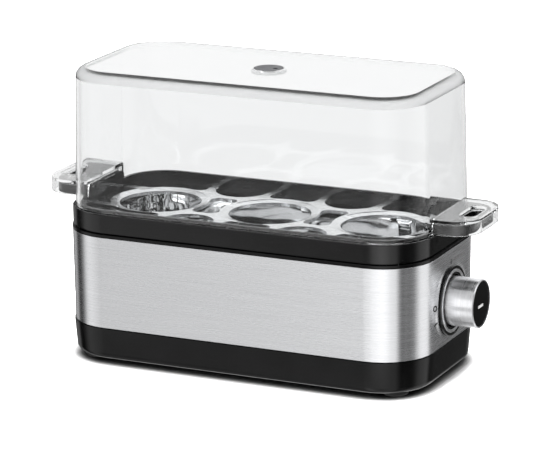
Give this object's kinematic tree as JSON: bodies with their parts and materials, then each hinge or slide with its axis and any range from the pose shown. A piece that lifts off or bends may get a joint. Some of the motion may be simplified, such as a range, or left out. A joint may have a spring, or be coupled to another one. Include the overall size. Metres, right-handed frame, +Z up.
{
  "type": "egg boiler",
  "caption": "Household electric egg boiler: brushed steel body, black base and carrier with end handles, lattice egg rack, clear lid with steam vent, control knob on the right end.",
  "frame": {"origin": "on the table, under the middle of the body's length and width", "axes": "+X towards the end with the knob, +Y towards the rear with the cord gland, +Z up"},
  "size_m": [0.229, 0.0942, 0.1449],
  "materials": {
    "black_plastic": "satin",
    "brushed_steel": "brushed",
    "polished_steel": "polished",
    "brushed_aluminium": "brushed",
    "rack_metal": "satin",
    "zinc_steel": "plated",
    "black_rubber": "matte",
    "red_silicone": "matte",
    "pale_resin": "matte",
    "lead_cover": "matte",
    "white_print": "matte",
    "grey_plastic": "satin",
    "clear_plastic": "clear"
  },
  "bodies": {
    "base": {"base_pan": "black_plastic", "top_frame": "black_plastic", "control_bezel": "black_plastic", "cord_gland": "black_plastic", "steel_band": "brushed_steel", "heating_dish": "polished_steel", "heat_spreader": "brushed_aluminium", "dial_ring": "brushed_aluminium", "body_screw_rear_right": "zinc_steel", "body_screw_rear_left": "zinc_steel", "body_screw_front_left": "zinc_steel", "body_screw_front_right": "zinc_steel", "terminal_screw": "zinc_steel", "bridge_screw_rear": "zinc_steel", "bridge_screw_front": "zinc_steel", "control_screw_rear": "zinc_steel", "control_screw_front": "zinc_steel", "clamp_bridge": "zinc_steel", "dish_washer": "zinc_steel", "dish_nut": "zinc_steel", "fuse_clip": "zinc_steel", "thermal_fuse": "zinc_steel", "heating_element": "zinc_steel", "rubber_foot_rear_right": "black_rubber", "rubber_foot_rear_left": "black_rubber", "rubber_foot_front_left": "black_rubber", "rubber_foot_front_right": "black_rubber", "dish_seal": "red_silicone", "thermostat": "pale_resin", "terminal_block": "pale_resin", "control_unit": "pale_resin", "lead_feed": "lead_cover", "lead_element": "lead_cover", "lead_return": "lead_cover", "lead_fuse": "lead_cover"},
    "knob": {"knob_sleeve": "brushed_aluminium", "knob_core": "black_plastic", "knob_pointer": "white_print", "control_spindle": "zinc_steel"},
    "carrier": {"carrier_frame": "black_plastic"},
    "rack": {"egg_rack": "rack_metal"},
    "lid": {"lid_dome": "clear_plastic", "steam_vent": "grey_plastic"}
  },
  "joints": [
    {"name": "knob_turn", "type": "hinge", "parent": "base", "child": "knob", "pos_m": [0.1, 0, 0.039], "axis": [-1, 0, 0], "range_deg": [0, 270]},
    {"name": "carrier_lift", "type": "slide", "parent": "base", "child": "carrier", "axis": [0, 0, 1], "range_m": [0, 0.06]},
    {"name": "rack_lift", "type": "slide", "parent": "carrier", "child": "rack", "axis": [0, 0, 1], "range_m": [0, 0.06]},
    {"name": "lid_lift", "type": "slide", "parent": "carrier", "child": "lid", "axis": [0, 0, 1], "range_m": [0, 0.1]}
  ]
}
